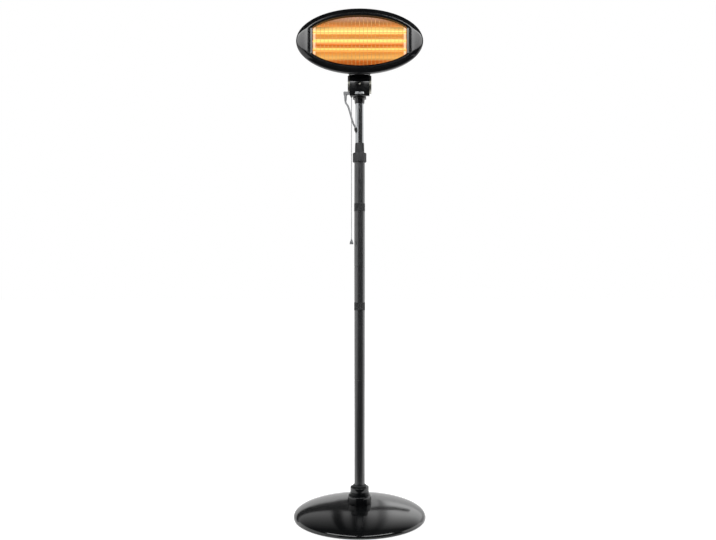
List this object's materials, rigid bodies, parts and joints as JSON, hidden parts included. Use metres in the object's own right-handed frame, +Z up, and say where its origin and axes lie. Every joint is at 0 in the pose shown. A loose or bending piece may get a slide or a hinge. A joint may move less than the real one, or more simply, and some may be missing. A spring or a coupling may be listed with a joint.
{
  "type": "infrared patio heater tower",
  "caption": "Freestanding electric patio heater: domed weighted base, telescoping pole with twist lock, and a tilting oval head with quartz tubes behind a wire guard.",
  "frame": {"origin": "on the ground under the pole's axis, at the centre of the round base", "axes": "+Z up along the pole, -Y out of the heated front, +X to the right of someone facing the front"},
  "size_m": [0.5, 0.5, 1.9023],
  "materials": {
    "gloss_enamel": "gloss black enamel on pressed steel",
    "satin_paint": "satin black powder coat",
    "gloss_moulding": "glossy moulded black",
    "matte_moulding": "fine-textured moulded black",
    "heatproof_moulding": "satin moulded black",
    "grey_moulding": "moulded grey",
    "grey_cord": "braided polyester",
    "rubber": "matte",
    "grey_sheath": "grey sheath of the mains lead",
    "chrome_plate": "bright chrome plate",
    "zinc_steel": "zinc-plated steel",
    "guard_wire": "nickel-plated wire",
    "bright_aluminium": "bright rolled reflector sheet, lit gold by the tubes",
    "quartz": "clear quartz, glowing",
    "hot_coil": "glowing resistance wire",
    "ceramic": "unglazed white",
    "concrete": "cast concrete"
  },
  "bodies": {
    "stand": {"base_cover": "gloss_enamel", "base_ballast": "concrete", "foot_1": "rubber", "foot_2": "rubber", "foot_3": "rubber", "foot_4": "rubber", "foot_5": "rubber", "clamp_washer": "zinc_steel", "clamp_bolt": "zinc_steel", "base_spigot": "zinc_steel", "base_flange": "gloss_moulding", "base_collar": "gloss_moulding", "collar_ring": "matte_moulding", "pole_bottom": "satin_paint", "outlet_grommet": "rubber", "pole_middle": "satin_paint", "pole_top": "satin_paint", "lower_coupler": "zinc_steel", "upper_coupler": "zinc_steel", "pole_screw": "satin_paint", "lower_band": "matte_moulding", "upper_band": "matte_moulding", "collet": "matte_moulding"},
    "lock": {"lock_collar": "matte_moulding"},
    "carriage": {"upper_tube": "chrome_plate", "tube_grommet": "rubber", "guide_bush": "matte_moulding", "tube_socket": "gloss_moulding", "box_rear": "gloss_moulding", "box_front": "gloss_moulding", "cover_screw": "zinc_steel", "lead_boot": "rubber", "mains_lead": "grey_sheath", "tilt_bolt_left": "satin_paint", "tilt_bolt_right": "satin_paint", "pull_ferrule": "chrome_plate", "pull_switch": "matte_moulding"},
    "pull": {"switch_plunger": "zinc_steel", "pull_cord": "grey_cord", "pull_knob": "grey_moulding"},
    "head": {"tilt_bracket": "zinc_steel", "rear_shell": "heatproof_moulding", "housing_screw_1": "zinc_steel", "housing_screw_2": "zinc_steel", "bracket_screw_1": "zinc_steel", "bracket_screw_2": "zinc_steel", "front_bezel": "gloss_moulding", "reflector": "bright_aluminium", "end_plate_left": "bright_aluminium", "end_plate_right": "bright_aluminium", "quartz_tube_1": "quartz", "quartz_tube_2": "quartz", "quartz_tube_3": "quartz", "heating_coil_1": "hot_coil", "heating_coil_2": "hot_coil", "heating_coil_3": "hot_coil", "tube_holder_left": "ceramic", "tube_holder_right": "ceramic", "wire_guard": "guard_wire"}
  },
  "joints": [
    {"name": "height_slide", "type": "slide", "parent": "stand", "child": "carriage", "axis": [0, 0, 1], "range_m": [-0.03, 0.2]},
    {"name": "lock_turn", "type": "hinge", "parent": "stand", "child": "lock", "pos_m": [0, 0, 1.365], "axis": [0, 0, 1], "range_deg": [0, 90]},
    {"name": "head_tilt", "type": "hinge", "parent": "carriage", "child": "head", "pos_m": [0, 0, 1.64], "axis": [1, 0, 0], "range_deg": [-10, 45]},
    {"name": "switch_pull", "type": "slide", "parent": "carriage", "child": "pull", "axis": [0, 0, -1], "range_m": [0, 0.01], "stiffness_N_per_m": 600, "springref_m": -0.003}
  ]
}
